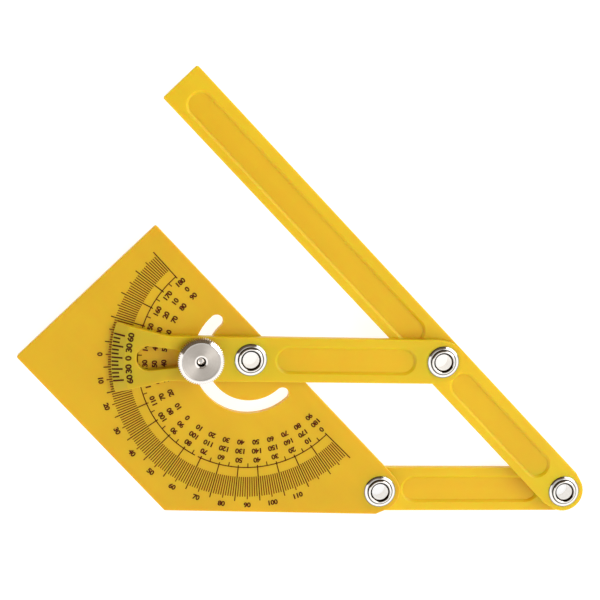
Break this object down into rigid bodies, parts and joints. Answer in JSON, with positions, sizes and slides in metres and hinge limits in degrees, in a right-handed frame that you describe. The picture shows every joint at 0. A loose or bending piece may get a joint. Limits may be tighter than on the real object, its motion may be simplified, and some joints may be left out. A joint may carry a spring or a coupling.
{
  "type": "articulated angle protractor",
  "caption": "Articulated protractor: printed plate, vernier arm, long blade and link riveted into a parallelogram, locked by a knurled thumb nut in a curved slot.",
  "frame": {"origin": "the main pivot's axis at the back face of the protractor plate", "axes": "+X along the arm from the main pivot to the elbow, +Z out of the printed face, +Y completes the frame"},
  "size_m": [0.2447, 0.1874, 0.0181],
  "materials": {
    "plate_plastic": "satin moulded yellow",
    "arm_plastic": "satin moulded yellow",
    "nickel": "polished nickel plate",
    "turned_steel": "turned and knurled",
    "screw_steel": "bright zinc plate",
    "scale_ink": "dark brown printing ink"
  },
  "bodies": {
    "plate": {"protractor_plate": "plate_plastic", "main_pivot_eyelet": "nickel", "main_pivot_washer": "nickel"},
    "arm": {"vernier_arm": "arm_plastic", "clamp_screw": "screw_steel"},
    "blade": {"long_blade": "arm_plastic", "elbow_eyelet": "nickel", "elbow_washer": "nickel"},
    "link": {"lower_link": "arm_plastic", "corner_eyelet": "nickel", "corner_washer": "nickel", "foot_eyelet": "nickel", "foot_washer": "nickel"},
    "washer": {"nut_washer": "screw_steel"},
    "nut": {"thumb_nut": "turned_steel"}
  },
  "joints": [
    {"name": "arm_swing", "type": "hinge", "parent": "plate", "child": "arm", "pos_m": [0, 0, 0], "axis": [0, 0, 1], "range_deg": [-29.5, 120]},
    {"name": "blade_pivot", "type": "hinge", "parent": "arm", "child": "blade", "pos_m": [0.082, 0, 0], "axis": [0, 0, 1], "range_deg": [-120, 29.5]},
    {"name": "link_swing", "type": "hinge", "parent": "plate", "child": "link", "pos_m": [0.05829, -0.05768, 0], "axis": [0, 0, 1], "range_deg": [-29.5, 120]},
    {"name": "nut_lift", "type": "slide", "parent": "arm", "child": "washer", "axis": [0, 0, 1], "range_m": [0, 0.0007]},
    {"name": "thumb_nut_turn", "type": "hinge", "parent": "washer", "child": "nut", "pos_m": [-0.021, 0, 0], "axis": [0, 0, 1], "range_deg": [0, 360]}
  ],
  "couplings": [
    {"joint": "blade_pivot", "follows": "arm_swing", "ratio": -1},
    {"joint": "link_swing", "follows": "arm_swing", "ratio": 1},
    {"joint": "nut_lift", "follows": "thumb_nut_turn", "m_per_rad": 0.00011141}
  ]
}
